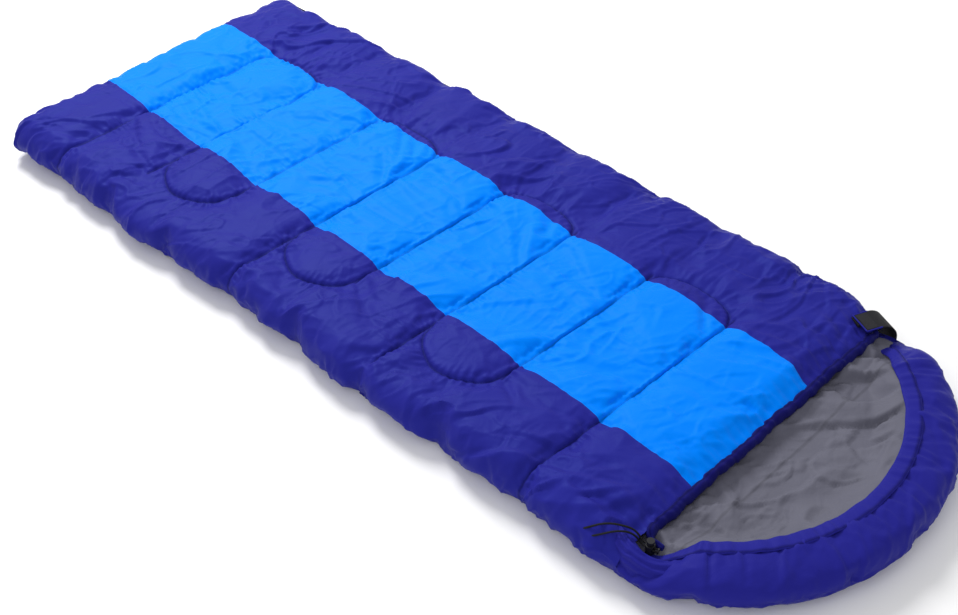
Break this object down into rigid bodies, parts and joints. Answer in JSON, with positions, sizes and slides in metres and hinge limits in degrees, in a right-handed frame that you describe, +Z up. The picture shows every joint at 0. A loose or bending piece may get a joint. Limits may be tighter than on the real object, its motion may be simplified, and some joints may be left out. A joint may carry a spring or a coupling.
{
  "type": "rectangular sleeping bag with hood",
  "caption": "rectangular hooded sleeping bag lying flat and zipped shut, with quilted shell, padded hood roll, drawcord and lock, closing tab, and a two-way side and foot zip",
  "frame": {"origin": "on the ground under the middle of the bag", "axes": "+Z up; +Y along the bag from the hood to the foot; +X across the bag from the folded side to the zip side"},
  "size_m": [0.8145, 2.0941, 0.093],
  "materials": {
    "shell_indigo": "smooth calendered polyester taffeta with a soft sheen",
    "shell_azure": "smooth calendered polyester taffeta with a soft sheen",
    "lining_grey": "soft brushed polyester lining",
    "filling": "hollow fibre wadding, hidden",
    "casing_dark": "gathered dark blue hem",
    "strap_black": "woven black webbing",
    "hook_and_loop": "black hook and loop fastener",
    "cord_black": "braided black cord",
    "zip_tape": "woven black tape",
    "zip_coil": "black nylon coil",
    "zip_metal": "black enamelled zinc",
    "lock_plastic": "moulded black plastic"
  },
  "bodies": {
    "under_quilt": {"under_shell": "shell_indigo", "under_filling": "filling", "under_lining": "lining_grey", "under_zip_tape": "zip_tape", "under_zip_coil": "zip_coil", "under_head_stop": "zip_metal", "foot_stop": "zip_metal", "tab_root": "strap_black"},
    "top_quilt": {"top_shell_fold_side": "shell_indigo", "top_shell_centre": "shell_azure", "top_shell_zip_side": "shell_indigo", "top_filling": "filling", "top_lining": "lining_grey", "top_zip_tape": "zip_tape", "top_zip_coil": "zip_coil", "top_head_stop": "zip_metal", "mouth_casing": "casing_dark", "mouth_cord": "cord_black", "casing_end": "shell_indigo", "cord_eyelet": "zip_metal", "drawcord_upper_tail": "cord_black", "drawcord_lower_tail": "cord_black", "drawcord_knot": "cord_black", "loop_patch": "hook_and_loop"},
    "cord_lock": {"lock_barrel": "lock_plastic", "lock_spring": "zip_metal"},
    "cord_lock_button": {"lock_button": "lock_plastic"},
    "hood": {"hood_roll_shell": "shell_indigo", "hood_roll_filling": "filling", "hood_under_shell": "shell_indigo", "hood_filling": "filling", "hood_lining": "lining_grey", "hood_casing": "shell_indigo", "hood_cord": "cord_black"},
    "closing_tab": {"tab_strap": "strap_black", "tab_piping": "shell_indigo", "tab_label": "strap_black", "tab_hooks": "hook_and_loop"},
    "head_zip_slider": {"head_slider": "zip_metal"},
    "head_zip_ring": {"head_slider_ring": "zip_metal"},
    "head_zip_pull": {"head_slider_pull": "zip_metal"},
    "foot_zip_slider": {"foot_slider": "zip_metal"},
    "foot_zip_ring": {"foot_slider_ring": "zip_metal"},
    "foot_zip_pull": {"foot_slider_pull": "zip_metal"}
  },
  "joints": [
    {"name": "top_quilt_open", "type": "hinge", "parent": "under_quilt", "child": "top_quilt", "pos_m": [-0.408, 0, 0.044], "axis": [0, -1, 0], "range_deg": [0, 180]},
    {"name": "cord_lock_slide", "type": "slide", "parent": "top_quilt", "child": "cord_lock", "axis": [0, 1, 0], "range_m": [0, 0.008]},
    {"name": "lock_button_press", "type": "slide", "parent": "cord_lock", "child": "cord_lock_button", "axis": [0, 0, -1], "range_m": [0, 0.005], "stiffness_N_per_m": 200, "deforming": ["lock_spring"]},
    {"name": "hood_fold", "type": "hinge", "parent": "under_quilt", "child": "hood", "pos_m": [0, -0.77615, 0.04], "axis": [-1, 0, 0], "range_deg": [0, 45]},
    {"name": "tab_peel", "type": "hinge", "parent": "under_quilt", "child": "closing_tab", "pos_m": [0.3781, -0.74096, 0.0438], "axis": [0.4067, 0.9135, 0], "range_deg": [0, 115]},
    {"name": "head_slider_run", "type": "slide", "parent": "under_quilt", "child": "head_zip_slider", "axis": [0, 1, 0], "range_m": [0, 1.59]},
    {"name": "head_ring_swing", "type": "hinge", "parent": "head_zip_slider", "child": "head_zip_ring", "pos_m": [0.4036, -0.618, 0.046], "axis": [0, -1, 0], "range_deg": [0, 165]},
    {"name": "head_pull_swing", "type": "hinge", "parent": "head_zip_ring", "child": "head_zip_pull", "pos_m": [0.4036, -0.618, 0.0421], "axis": [1, 0, 0], "range_deg": [-65, 65]},
    {"name": "foot_slider_run", "type": "slide", "parent": "under_quilt", "child": "foot_zip_slider", "axis": [1, 0, 0], "range_m": [0, 0.63]},
    {"name": "foot_ring_swing", "type": "hinge", "parent": "foot_zip_slider", "child": "foot_zip_ring", "pos_m": [-0.3, 1.0456, 0.046], "axis": [1, 0, 0], "range_deg": [0, 165]},
    {"name": "foot_pull_swing", "type": "hinge", "parent": "foot_zip_ring", "child": "foot_zip_pull", "pos_m": [-0.3, 1.0456, 0.0421], "axis": [0, 1, 0], "range_deg": [-65, 65]}
  ]
}
